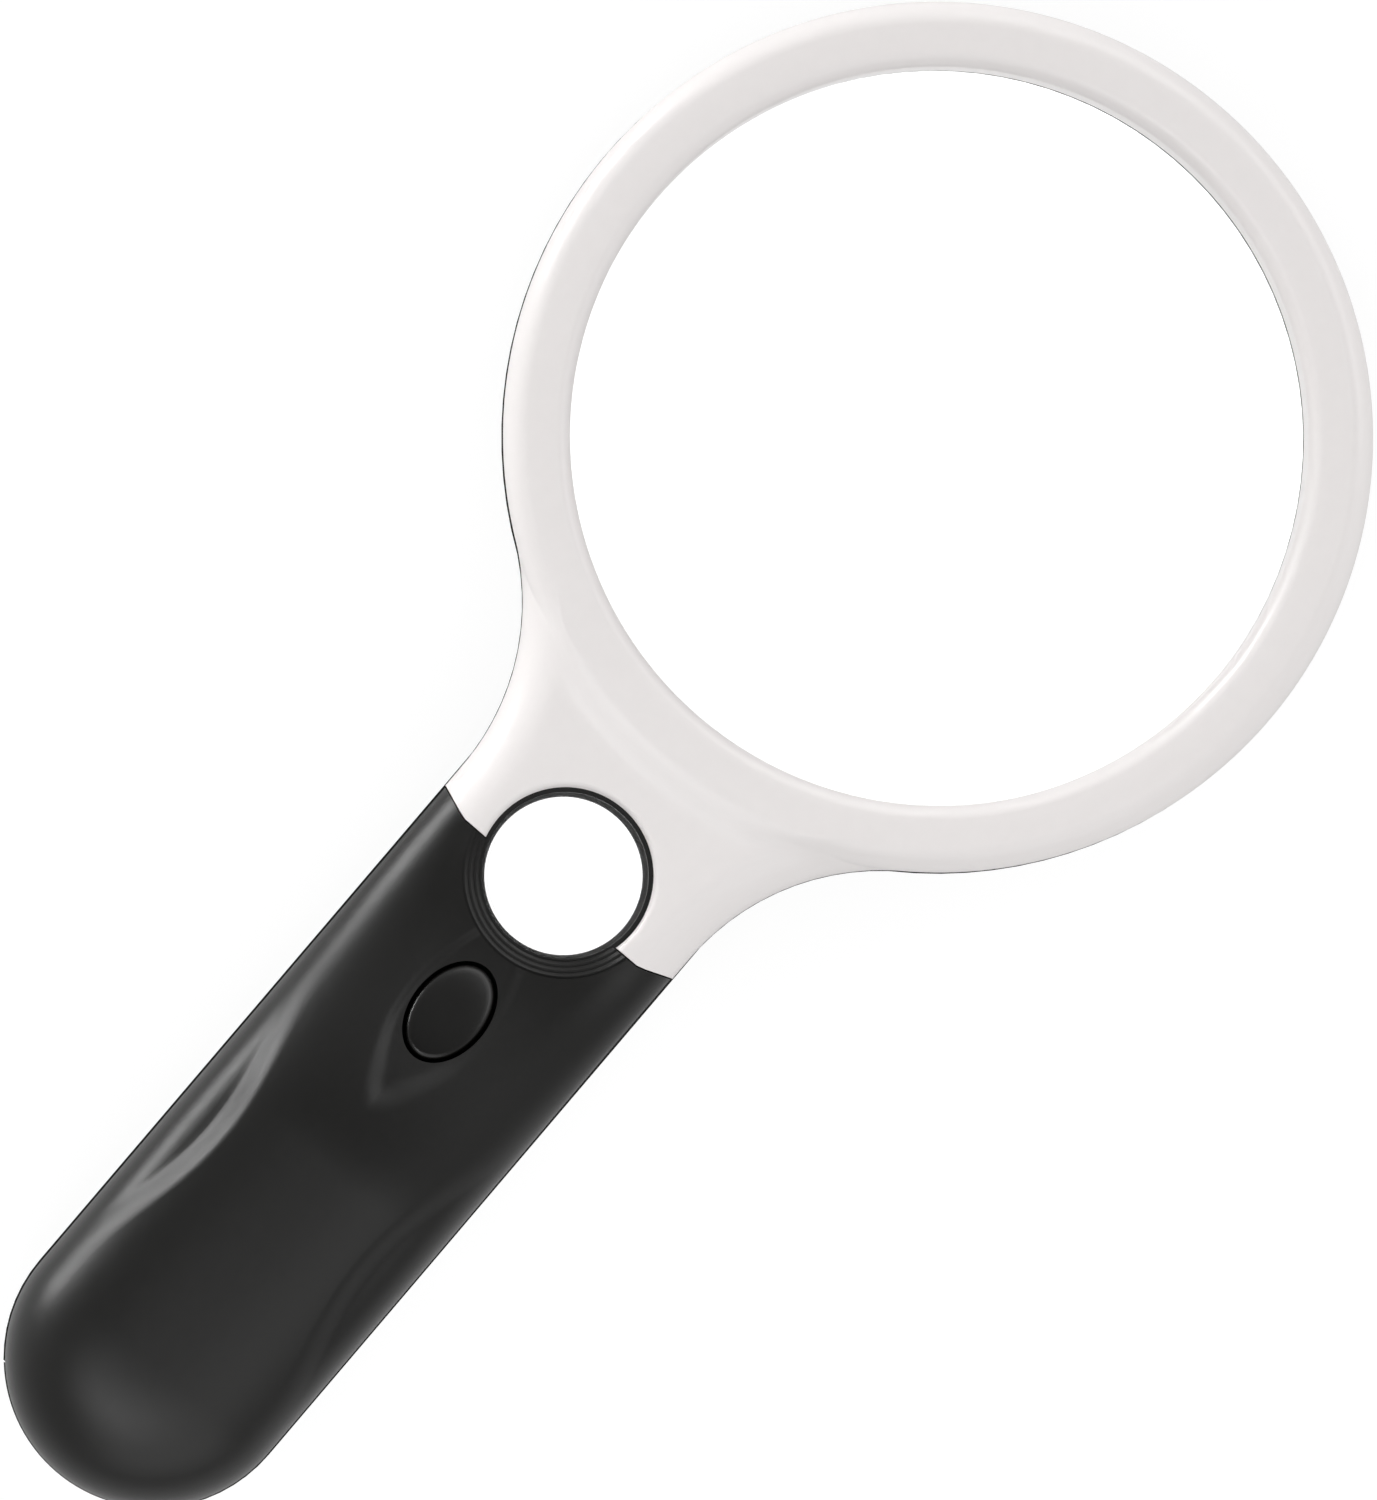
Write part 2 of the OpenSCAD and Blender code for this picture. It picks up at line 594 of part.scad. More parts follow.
module rear_housing() color([0.1, 0.1, 0.1]) placed() difference() {
    union() {
        difference() {
            body_form(rear_profile(0, 0));
            rear_room();
            end_cap_space(0, -1, joint_z + 1);
            door_space();
        }
        // tube of the small lens, end walls of the cell bay
        at_s(small_s) translate([0, 0, eps]) cylinder(r = tube_r, h = joint_z - eps);
        bulkhead(cell_s0 - plate_t - bulkhead_t, wall - eps);
        tail_bulkhead();
        // posts for the screws, which end inside the housing's rounded edge
        intersection() {
            at_neck_screws() {
                translate([0, 0, eps]) cylinder(d = screw_head_d + 2, h = screw_sink + 1.5);
                translate([0, 0, eps]) cylinder(d = post_d, h = joint_z - eps);
            }
            body_form(rear_profile(post_edge, post_edge));
        }
        at_s(tail_screw_s) translate([0, 0, tail_post_z])
            cylinder(d = post_d, h = joint_z - tail_post_z);
        // posts under the circuit board and the LED board
        for (x = [-1, 1], s = [board_s0 + 2, board_s1 - 2])
            translate([x * (board_w / 2 - 2), -s, wall - eps]) cylinder(d = 3, h = board_lift + eps);
        for (side = [-1, 1]) rotate([0, 0, side * (led_board_angle - 2)])
            translate([0, -led_r, wall - eps]) cylinder(d = 2.4, h = led_base_z - wall + eps);
    }
    // view and seat of the main lens
    translate([0, 0, -1]) cylinder(r = view_r, h = joint_z + 2);
    translate([0, 0, -eps]) cylinder(r1 = view_r + mouth_flare, r2 = view_r, h = lens_z - 0.6);
    translate([0, 0, lens_z]) cylinder(r = lens_r + fit, h = joint_z);
    // view and seat of the small lens
    at_s(small_s) {
        translate([0, 0, -1]) cylinder(r = small_view_r, h = joint_z + 2);
        translate([0, 0, -eps]) cylinder(r1 = small_view_r + 1, r2 = small_view_r, h = 1);
        translate([0, 0, small_seat_z]) cylinder(r = small_lens_r + fit, h = joint_z);
    }
    // seat of the LED window
    led_slot(led_window_w + 2 * fit, window_inset, wall + 1);
    led_slot(led_window_w - 1.4, -1, wall);
    // screws
    at_neck_screws() {
        translate([0, 0, -1]) cylinder(d = screw_head_d + 2 * fit, h = screw_sink + 1);
        translate([0, 0, -1]) cylinder(d = screw_d + 2 * fit, h = joint_z + 2);
    }
    at_s(tail_screw_s) translate([0, 0, tail_post_z - 1]) cylinder(d = screw_d + 2 * fit, h = joint_z);
    translate([-2.4, -end_cap_s - 1, 0]) cube([4.8, bulkhead_t + 2, tail_post_z]);
    // room for the cells, springs and contacts in the round end
    for (side = [-1, 1]) translate([side * low_x, -cell_s1, low_cell_z]) rotate([-90, 0, 0]) {
        translate([0, 0, spring_len - 0.3]) cylinder(d = cell_d + 2 * fit, h = cell_len / 2);
        cylinder(d = contact_w + 1, h = spring_len);
    }
    translate([-low_x - contact_w / 2, -cell_s1 - plate_t, low_cell_z - contact_w / 2 - 0.2])
        cube([2 * low_x + contact_w, plate_t + 1, contact_w + 0.4]);
}

// ---------------------------------------------------------------- battery door
module battery_door() color([0.12, 0.12, 0.12]) placed() difference() {
    union() {
        // plate, with the housing's own outline
        intersection() {
            body_form(rear_profile(0, 0));
            translate([-door_w / 2, -reach - 1, -1]) cube([door_w, reach + 1 - door_s0, wall + 1]);
        }
        // rounded end of the handle
        difference() {
            intersection() {
                body_form(rear_profile(0, 0));
                end_cap_space(door_gap, -1, joint_z - door_gap);
            }
            rear_room();
        }
        // tongues that run over the housing's floor
        for (side = [0, 1]) mirror([side, 0, 0]) translate([0, -door_s0 - 1, 0]) rotate([90, 0, 0])
            linear_extrude(tongue_s1 - door_s0 - 1)
                polygon([[door_w / 2 - 1, wall - eps], [door_w / 2, wall - eps], [door_w / 2, wall + 0.2],
                    [door_w / 2 + tongue_w, wall + 0.2], [door_w / 2 + tongue_w, wall + 0.2 + tongue_t],
                    [door_w / 2 - 1, wall + 0.2 + tongue_t]]);
    }
    // thumb grip
    for (i = [0:grip_ribs - 1])
        translate([-door_w / 3, -door_s0 - 5 - i * grip_pitch, 0]) rotate([0, 90, 0]) rotate([0, 0, 45])
            translate([-0.4, -0.4, 0]) cube([0.8, 0.8, 2 * door_w / 3]);
}

// ---------------------------------------------------------------- lenses
// A lens with a flat rim that stands on 0, bulging on both sides inside the rim
module lens(rim_r, view, edge, bulge, steps) {
    r = view - fit;
    bulge_r = (r * r + bulge * bulge) / (2 * bulge);
    arc = [for (i = [0:steps]) let (a = asin(r / bulge_r) * i / steps)
        [bulge_r * sin(a), bulge - bulge_r * (1 - cos(a))]];
    rotate_extrude() polygon(concat([for (p = arc) [p[0], -p[1]]], [[rim_r, 0], [rim_r, edge]],
        [for (i = [steps:-1:0]) [arc[i][0], edge + arc[i][1]]]));
}

module main_lens() color([0.9, 0.95, 1, 0.4]) placed()
    translate([0, 0, lens_z]) lens(lens_r, view_r, lens_edge_t, lens_bulge, 8);

module small_lens() color([0.9, 0.95, 1, 0.4]) placed() at_s(small_s)
    translate([0, 0, small_seat_z]) lens(small_lens_r, small_view_r, small_edge_t, small_bulge, 5);

// Barrel that holds the small lens down and lines the opening over it
module small_lens_holder() color([0.08, 0.08, 0.08]) placed() at_s(small_s) {
    top = neck_z - wall - fit;
    rotate_extrude() polygon([[small_view_r, holder_z], [small_lens_r, holder_z],
        [small_lens_r, joint_z + fit], [tube_r, joint_z + fit], [tube_r, top],
        [small_mouth_r, top], [small_mouth_r, top - 1.5]]);
}

// ---------------------------------------------------------------- button and switch
// The button's top slopes with the handle. Each layer is [inset, height, how far it slopes].
button_slope = (top_at(button_s + 3) - top_at(button_s - 3)) / 6;
module button_layers(layers) {
    n = 48;
    last = len(layers) - 1;
    points = [for (l = layers, p = oval(button_w / 2 - l[0], button_len / 2 - l[0], n))
        [p[0], p[1], l[1] - button_slope * p[1] * l[2]]];
    polyhedron(points, concat(
        [for (k = [0:last - 1], i = [0:n - 1]) let (j = (i + 1) % n, b = k * n)
            each [[b + i, b + n + i, b + n + j], [b + i, b + n + j, b + j]]],
        [[for (i = [0:n - 1]) i], [for (i = [n - 1:-1:0]) last * n + i]]));
}

module power_button() color([0.1, 0.1, 0.1]) placed() at_s(button_s) difference() {
    union() {
        button_layers(concat([[0, button_under_z, 0]],
            [for (a = [0:22.5:67.5]) [1.2 * (1 - cos(a)), button_top_z - 0.9 + 0.8 * sin(a), 1]],
            [[2, button_top_z, 1]]));
        // side wings that keep the button under the cover
        translate([0, 0, button_under_z]) linear_extrude(0.8)
            polygon(oval(button_w / 2 + 1, button_len / 2 - 0.5));
    }
    translate([-stem_w / 2, -stem_w / 2, button_under_z - 1]) cube([stem_w, stem_w, 2.2]);
}

module switch_plunger() color("white") placed() at_s(button_s)
    translate([-stem_w / 2, -stem_w / 2, switch_top_z - stem_in])
        cube([stem_w, stem_w, button_under_z + 1.2 - switch_top_z + stem_in]);

module switch_body() color([0.15, 0.15, 0.17]) placed() at_s(button_s) difference() {
    hole = stem_w + 2 * fit;
    under_z = switch_top_z - switch_h;
    union() {
        translate([-switch_w / 2, -switch_w / 2, under_z]) cube([switch_w, switch_w, switch_h - 0.8]);
        translate([-switch_w / 2 + 0.8, -switch_w / 2 + 0.8, under_z])
            cube([switch_w - 1.6, switch_w - 1.6, switch_h]);
    }
    translate([-hole / 2, -hole / 2, switch_top_z - stem_in - button_travel - 0.3])
        cube([hole, hole, stem_in + button_travel + 1]);
}

module circuit_board() color([0.1, 0.35, 0.2]) placed()
    translate([-board_w / 2, -board_s1, board_z]) cube([board_w, board_s1 - board_s0, board_t]);

// Resistor with its two bent legs, standing on the circuit board beside the switch
module led_resistor() color([0.75, 0.62, 0.42]) placed()
    translate([-resistor_x, -button_s, board_z + board_t]) {
        translate([0, 0, resistor_lift]) rotate([90, 0, 0]) {
            translate([0, 0, -2.6]) cylinder(r = 0.95, h = 5.2);
            for (z = [-3, 1.6]) translate([0, 0, z]) cylinder(r = 1.15, h = 1.4);
            translate([0, 0, -4]) cylinder(r = 0.3, h = 8);
        }
        for (y = [-3.9, 3.9]) translate([0, y, 0]) cylinder(r = 0.32, h = resistor_lift + 0.4);
    }

// ---------------------------------------------------------------- LEDs
module led(i) placed() rotate([0, 0, i * led_angle]) translate([0, -led_r, 0]) {
    r = led_d / 2;
    rotate_extrude() polygon(concat([[0, led_tip_z]],
        [for (a = [15:15:90]) [r * sin(a), led_tip_z + r * (1 - cos(a))]],
        [[r, led_base_z - 1], [r + 0.4, led_base_z - 1], [r + 0.4, led_base_z], [0, led_base_z]]));
}

module left_led() color([0.95, 0.95, 0.85, 0.8]) led(-1);
module middle_led() color([0.95, 0.95, 0.85, 0.8]) led(0);
module right_led() color([0.95, 0.95, 0.85, 0.8]) led(1);

module led_board() color([0.1, 0.35, 0.2]) placed() translate([0, 0, led_base_z])
    rotate([0, 0, -90 - led_board_angle]) rotate_extrude(angle = 2 * led_board_angle)
        translate([led_r - led_board_w / 2, 0]) square([led_board_w, board_t]);

module led_window() color([0.9, 0.95, 1, 0.4]) placed()
    led_slot(led_window_w, window_inset, window_inset + window_t);

// ---------------------------------------------------------------- cells and contacts
// A cell from 0 up, its nub down
module cell() {
    r = cell_d / 2;
    rotate_extrude() polygon([[0, 0], [1.9, 0], [1.9, 1], [r - 0.6, 1], [r, 1.5],
        [r, cell_len - 0.5], [r - 0.6, cell_len], [0, cell_len]]);
}

// The two lower cells have their nubs at the neck, the top one at the tail
module left_cell() color([0.2, 0.35, 0.6]) placed()
    translate([-low_x, -cell_s0, low_cell_z]) rotate([90, 0, 0]) cell();
module right_cell() color([0.2, 0.35, 0.6]) placed()
    translate([low_x, -cell_s0, low_cell_z]) rotate([90, 0, 0]) cell();
module top_cell() color([0.2, 0.35, 0.6]) placed()
    translate([0, -cell_s1, top_cell_z]) rotate([-90, 0, 0]) cell();

// A round wire through a list of points, open-ended
function unit(v) = v / norm(v);
module wire(route, d, sides) {
    last = len(route) - 1;
    points = [for (k = [0:last]) let (
            along = unit((k < last ? unit(route[k + 1] - route[k]) : [0, 0, 0])
                + (k > 0 ? unit(route[k] - route[k - 1]) : [0, 0, 0])),
            ref = abs(along[2]) < 0.8 ? [0, 0, 1] : [0, 1, 0],
            u = unit(cross(along, ref)), v = cross(along, u))
        for (i = [0:sides - 1]) let (a = 360 * i / sides)
            route[k] + d / 2 * (u * cos(a) + v * sin(a))];
    polyhedron(points, concat(
        [for (k = [0:last - 1], i = [0:sides - 1]) let (j = (i + 1) % sides, b = k * sides)
            each [[b + i, b + sides + j, b + j], [b + i, b + sides + i, b + sides + j]]],
        [[for (i = [0:sides - 1]) i], [for (i = [sides - 1:-1:0]) last * sides + i]]));
}

// Contact spring: a wire wound in a cone, from its plate at 0 to just short of the cell
module cone_spring() {
    r = spring_wire_d / 2;
    wire([for (k = [0:34]) let (part = k / 34, a = 900 * part, wide = mix(2.7, 1.6, part))
        [wide * cos(a), wide * sin(a), mix(r - 0.1, spring_len - r - 0.2, part)]], spring_wire_d, 6);
}

// A flat plate between two corners [x, z], with its back on an end wall of the bay
module plate(s, low, high) translate([low[0], -s, low[1]]) cube([high[0] - low[0], plate_t, high[1] - low[1]]);

// Plates of the contact at x of a lower cell, and its tab in the valley beside the top cell
module low_plate(s, side) {
    inner = low_x - contact_w / 2;
    outer = low_x + contact_w / 2 - 0.3;
    plate(s, [side > 0 ? inner : -outer, low_cell_z - contact_w / 2],
        [side > 0 ? outer : -inner, low_cell_z + contact_w / 2]);
}
module lead_tab(s, side) {
    plate(s, [side * valley_x - 1.2, low_cell_z], [side * valley_x + 1.2, valley_z + 1]);
}
module top_plate(s, side) {
    plate(s, [-top_contact_w / 2, joint_z - 0.4], [top_contact_w / 2, top_cell_z + 1.8]);
    plate(s, [side > 0 ? 0 : -low_x, low_cell_z + 1], [side > 0 ? low_x : 0, joint_z - 0.2]);
}

module positive_contact() color([0.8, 0.8, 0.78]) placed() {
    low_plate(cell_s0, -1);
    lead_tab(cell_s0, -1);
}

module neck_link_contact() color([0.8, 0.8, 0.78]) placed() {
    low_plate(cell_s0, 1);
    top_plate(cell_s0, 1);
    translate([0, -cell_s0, top_cell_z]) rotate([90, 0, 0]) cone_spring();
}

module tail_link_contact() color([0.8, 0.8, 0.78]) placed() {
    low_plate(cell_s1 + plate_t, -1);
    top_plate(cell_s1 + plate_t, -1);
    translate([-low_x, -cell_s1, low_cell_z]) rotate([-90, 0, 0]) cone_spring();
}

module negative_contact() color([0.8, 0.8, 0.78]) placed() {
    low_plate(cell_s1 + plate_t, 1);
    lead_tab(cell_s1 + plate_t, 1);
    translate([low_x, -cell_s1, low_cell_z]) rotate([-90, 0, 0]) cone_spring();
}

// ---------------------------------------------------------------- leads
// From above the cells over the end wall and down on to the circuit board
function lead_to_board(side) =
    let (s = cell_s0 - plate_t, z = board_z + board_t, d = lead_d)
    [[side * valley_x, -s + 2.2 * d, valley_z], [side * (valley_x + 0.5 * d), -s + 3.5 * d, valley_z - 0.9 * d],
        [side * (lead_end_x - 0.3 * d), -s + 4.4 * d, z + 4.5 * d],
        [side * lead_end_x, -s + 4.6 * d, z + 2.7 * d], [side * lead_end_x, -s + 4.6 * d, z]];

// From the circuit board past the small lens and the screw on to the LED board
function lead_to_leds(side) =
    let (z = board_z + board_t, d = lead_d, past_x = tube_r + 1.05 * d, post_x = neck_screw_x - post_d / 2 - d,
        a = led_board_angle - 10.3, end_r = led_r + 2.1 * d)
    [[side * lead_end_x, -board_s0 - 2 * d, z], [side * lead_end_x, -board_s0 - 2 * d, z + 1.6 * d],
        [side * (lead_end_x + d), -board_s0 - 1.1 * d, z + 2.9 * d],
        [side * past_x, -board_s0 + 1.5 * d, z + 3.6 * d], [side * past_x, -small_s + 0.9 * d, z + 4 * d],
        [side * (past_x - 0.8 * d), -small_s + 4.5 * d, z + 4.5 * d],
        [side * post_x, -neck_screw_s, z + 5.6 * d],
        [side * (end_r + 1.8 * d) * sin(a), -(end_r + 1.8 * d) * cos(a), led_base_z + board_t + 1.3 * d],
        [side * end_r * sin(a), -end_r * cos(a), led_base_z + board_t + 1.1 * d],
        [side * end_r * sin(a), -end_r * cos(a), led_base_z + board_t]];

module red_lead() color("firebrick") placed()
    wire(concat([[-valley_x, -cell_s0 + plate_t, valley_z]], lead_to_board(-1)), lead_d, 8);

module black_lead() color([0.06, 0.06, 0.06]) placed()
    wire(concat([[valley_x, -cell_s1, valley_z]], lead_to_board(1)), lead_d, 8);

module led_red_lead() color("firebrick") placed() wire(lead_to_leds(-1), lead_d, 8);
module led_black_lead() color([0.06, 0.06, 0.06]) placed() wire(lead_to_leds(1), lead_d, 8);

// ---------------------------------------------------------------- screws
module screw() {
    head_r = screw_head_d / 2;
    difference() {
        rotate_extrude() polygon([[0, 0], [head_r * 0.7, 0], [head_r * 0.92, 0.25 * screw_head_h],
            [head_r, 0.6 * screw_head_h], [head_r, screw_head_h], [screw_d / 2, screw_head_h],
            [screw_d / 2, screw_len - 1], [0.3, screw_len], [0, screw_len]]);
        for (a = [0, 90]) rotate([0, 0, a]) translate([-head_r * 0.6, -0.3, -1])
            cube([head_r * 1.2, 0.6, 1.8]);
    }
}

module housing_screws() color([0.6, 0.6, 0.6]) placed() {
    at_neck_screws() translate([0, 0, screw_sink - screw_head_h]) screw();
    at_s(tail_screw_s) translate([0, 0, tail_post_z - screw_head_h]) screw();
}

lens_bezel();
handle_cover();
rear_housing();
battery_door();
main_lens();
small_lens();
small_lens_holder();
power_button();
switch_body();
switch_plunger();
circuit_board();
led_resistor();
led_board();
left_led();
middle_led();
right_led();
led_window();
left_cell();
right_cell();
top_cell();
positive_contact();
neck_link_contact();
tail_link_contact();
negative_contact();
red_lead();
black_lead();
led_red_lead();
led_black_lead();
housing_screws();
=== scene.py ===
import math

import bmesh
import bpy
from mathutils import Matrix, Vector


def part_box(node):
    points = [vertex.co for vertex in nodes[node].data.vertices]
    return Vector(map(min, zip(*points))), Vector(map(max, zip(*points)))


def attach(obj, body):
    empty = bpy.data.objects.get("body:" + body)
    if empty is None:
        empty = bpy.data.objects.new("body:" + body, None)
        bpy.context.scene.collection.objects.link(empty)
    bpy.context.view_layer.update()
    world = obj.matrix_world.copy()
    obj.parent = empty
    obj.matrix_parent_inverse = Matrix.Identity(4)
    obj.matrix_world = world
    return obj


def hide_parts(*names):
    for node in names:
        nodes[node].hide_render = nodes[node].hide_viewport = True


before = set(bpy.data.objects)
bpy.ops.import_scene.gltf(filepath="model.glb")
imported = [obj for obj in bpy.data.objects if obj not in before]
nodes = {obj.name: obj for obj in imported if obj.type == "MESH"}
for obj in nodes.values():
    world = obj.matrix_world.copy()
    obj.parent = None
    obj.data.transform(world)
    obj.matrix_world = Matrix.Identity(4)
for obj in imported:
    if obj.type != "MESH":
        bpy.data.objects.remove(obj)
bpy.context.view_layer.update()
MM = 0.001
bpy.context.scene.view_settings.view_transform = "Standard"

# ---- The view, from over the magnifier, a little towards the ring ----
# The magnifier lies on its back, so the camera stands over it, tipped a few degrees from
# straight down, with the handle running to the lower left.
camera = bpy.data.objects.new("camera", bpy.data.cameras.new("camera"))
bpy.context.collection.objects.link(camera)
ahead = Vector((0.01918233, 0.04073085, -0.998986))
upward = Vector((-0.64872652, 0.7607952, 0.01856257))
side = ahead.cross(upward).normalized()
turn = Matrix((side, upward, -ahead)).transposed().to_4x4()
eye = Vector((-19.835, -38.712, 1115.221)) * MM
camera.matrix_world = Matrix.Translation(eye) @ turn
camera.data.sensor_fit = "VERTICAL"
camera.data.sensor_height = 24
camera.data.lens = 170.9664
camera.data.clip_start = 0.05
bpy.context.scene.camera = camera

# ---- The white table it lies on ----
# A plain sheet under the magnifier and far out past it. The camera sees it as bare white with
# the magnifier's soft shadow, and the shells get its light from below.
floor_mesh = bpy.data.meshes.new("table_top")
reach, table_z = 1.5, -0.0002
corners = [(-reach, -reach), (reach, -reach), (reach, reach), (-reach, reach)]
floor_mesh.from_pydata([(x, y, table_z) for x, y in corners], [], [(0, 1, 2, 3)])
floor = bpy.data.objects.new("table_top", floor_mesh)
bpy.context.collection.objects.link(floor)


class Finish:
    """A value, colour or shader in one material, so that its maths reads as plain expressions."""

    def __init__(self, tree, socket=None):
        self.tree, self.socket = tree, socket

    def node(self, kind, settings=(), **values):
        made = self.tree.nodes.new("ShaderNode" + kind)
        for name, value in dict(settings).items():
            setattr(made, name, value)
        for name, value in values.items():
            numbered = name.startswith("in") and name[2:].isdigit()
            spot = int(name[2:]) if numbered else name.replace("_", " ")
            if isinstance(value, Finish):
                self.tree.links.new(value.socket, made.inputs[spot])
            else:
                made.inputs[spot].default_value = value
        return Finish(self.tree, made.outputs[0] if made.outputs else None)

    def math(self, operation, other, swapped=False):
        first, second = (other, self) if swapped else (self, other)
        return self.node("Math", {"operation": operation}, in0=first, in1=second)

    def __add__(self, other):
        return self.math("ADD", other)

    def __radd__(self, other):
        return self.math("ADD", other, True)

    def __sub__(self, other):
        return self.math("SUBTRACT", other)

    def __rsub__(self, other):
        return self.math("SUBTRACT", other, True)

    def __mul__(self, other):
        return self.math("MULTIPLY", other)

    def __rmul__(self, other):
        return self.math("MULTIPLY", other, True)


def start_material(name):
    made = bpy.data.materials.new(name)
    made.use_nodes = True
    made.node_tree.nodes.clear()
    return made, Finish(made.node_tree)


def end_material(made, shader):
    shader.node("OutputMaterial", Surface=shader)
    return made


paper, p = start_material("white_paper")
grain = p.node("TexNoise", Scale=900.0, Detail=3.0)
level = 0.80 + grain * 0.02
matte = p.node("BsdfDiffuse", Color=p.node("CombineColor", Red=level, Green=level, Blue=level))
ray = p.node("LightPath")
by_camera, by_gloss, by_glass = (Finish(p.tree, ray.socket.node.outputs["Is %s Ray" % kind])
                                 for kind in ("Camera", "Glossy", "Transmission"))
bare = p.node("Emission", Color=(1, 1, 1, 1), Strength=by_glass * 0.15 + 1.13)
shown = (by_camera * 0.8).math("MAXIMUM", by_gloss * 0.15).math("MAXIMUM", by_glass)
end_material(paper, p.node("MixShader", in0=shown, in1=matte, in2=bare))
floor.data.materials.append(paper)

# ---- The room and the lamps ----
# A dim room with its pale walls on the handle's left and a darker ceiling. A low narrow lamp
# there lights the handle's edge, a broad one stands past the ring, one hangs high on the right,
# and a small one high over the handle's end picks out the step from the ring to the neck.
world = bpy.data.worlds.new("room")
bpy.context.scene.world = world
world.use_nodes = True
world.node_tree.nodes.clear()
p = Finish(world.node_tree)
way = p.node("SeparateXYZ", in0=p.node("TexCoord"))
across, along, up = (Finish(p.tree, way.socket.node.outputs[axis]) for axis in ("X", "Y", "Z"))
wall_light = (1 - up * up) * (0.43 + along * 0.09 - across * 0.14)
p.node("OutputWorld", Surface=p.node("Background", Color=(1, 1, 1, 1), Strength=0.19 + wall_light))


def lamp(name, place, target, size, power, beam=180):
    light = bpy.data.lights.new(name, "AREA")
    light.shape, light.energy = "RECTANGLE", power
    light.size, light.size_y = size
    light.spread = math.radians(beam)
    made = bpy.data.objects.new(name, light)
    bpy.context.collection.objects.link(made)
    made.location = place
    made.rotation_euler = (Vector(target) - Vector(place)).to_track_quat("-Z", "Y").to_euler()


lamp("low_left_lamp", (-0.62, -0.03, 0.09), (0, -0.05, 0.015), (0.40, 0.18), 0.17, beam=36)
lamp("ring_side_lamp", (0.12, 0.80, 0.46), (0, 0.05, 0), (1.3, 0.5), 2.9)
lamp("high_right_lamp", (0.38, -0.40, 0.68), (0, 0, 0), (0.95, 0.95), 2.7)
lamp("high_end_lamp", (-0.02, -0.42, 0.85), (0, 0, 0), (0.4, 0.3), 1.0)

# ---- Lens bezel ----
# The white front shell: the ring round the main lens and the neck up to the joint with the
# handle, moulded in one piece of glossy ABS. Its height is worked out on rays from the main
# lens, and the small lens's opening and the joint line are cut from it.
low, high = (Vector(corner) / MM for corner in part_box("main_lens"))
centre_y = (low.y + high.y) / 2
joint_z, face_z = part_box("lens_bezel")[0][2] / MM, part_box("lens_bezel")[1][2] / MM
ring_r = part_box("rear_housing")[1][0] / MM
ring_w, step_down, ledge, neck_round = 7, 1, 0.2, 5.0
view_r, neck_z = ring_r - ring_w, face_z - step_down
half_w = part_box("handle_cover")[1][0] / MM + ledge
low, high = (Vector(corner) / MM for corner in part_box("small_lens"))
small_s = centre_y - (low.y + high.y) / 2
hollow_r = 25.8
hollow_s = math.sqrt((ring_r + hollow_r) ** 2 - (half_w + hollow_r) ** 2)
neck_angle = math.atan2(half_w + hollow_r, hollow_s)
rim_r, side_gap, side_h = ring_r - 0.1, 0.10, 0.5
edge_w, edge_h = 2.5, 3.2
foot_w, foot_h = 3.5, 0.75
ramp_w = 4.2


def make_piece(name, points, faces, material, body, *stands_for):
    """Points are [x, distance down the handle, height] in millimetres from the main lens."""
    mesh = bpy.data.meshes.new(name)
    mesh.from_pydata([(x * MM, (centre_y - s) * MM, z * MM) for x, s, z in points], [], faces)
    mesh.validate()
    bm = bmesh.new()
    bm.from_mesh(mesh)
    bmesh.ops.remove_doubles(bm, verts=bm.verts, dist=1e-7)
    bmesh.ops.recalc_face_normals(bm, faces=bm.faces)
    bm.to_mesh(mesh)
    bm.free()
    made = bpy.data.objects.new(name, mesh)
    bpy.context.collection.objects.link(made)
    if material:
        mesh.materials.append(material)
    if body:
        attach(made, body)
    if stands_for:
        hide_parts(*stands_for)
    return made


def edge_distance(x, s):
    """How far a point of the neck lies inside its outline."""
    if s >= hollow_s:
        return half_w - abs(x)
    return math.hypot(abs(x) - half_w - hollow_r, s - hollow_s) - hollow_r


def eased(x):
    x = max(0.0, min(1.0, x))
    return x * x * (3 - 2 * x)


def ring_height(r):
    """The ring's flat face, then the quarter-round at its outer edge."""
    inset = edge_w - (rim_r - r)
    if r > rim_r:
        return face_z - edge_h - 5 * (r - rim_r)
    if inset <= 0:
        return face_z
    return face_z - edge_h * (1 - math.sqrt(max(0.0, 1 - (inset / edge_w) ** 2)))


def blended(a, b, soft):
    """The higher of two heights, with the hollow where they cross filled softly."""
    return max(a, b) + soft / 4 * max(0.0, 1 - abs(a - b) / soft) ** 2


def neck_height(x, s, r):
    """The neck's rounded sides and level top, a little higher where it joins the ring."""
    inside = edge_distance(x, s) - side_gap
    part = 1 - min(1.0, max(0.0, inside) / neck_round)
    height = joint_z + side_h + (neck_z - joint_z - side_h) * math.sqrt(max(0.0, 1 - part * part))
    rim = max(0.0, 1 - (r - ring_r + foot_w / 2) / foot_w)
    return height + foot_h * min(1.0, rim) ** 2 * eased((inside - 1) / foot_w)


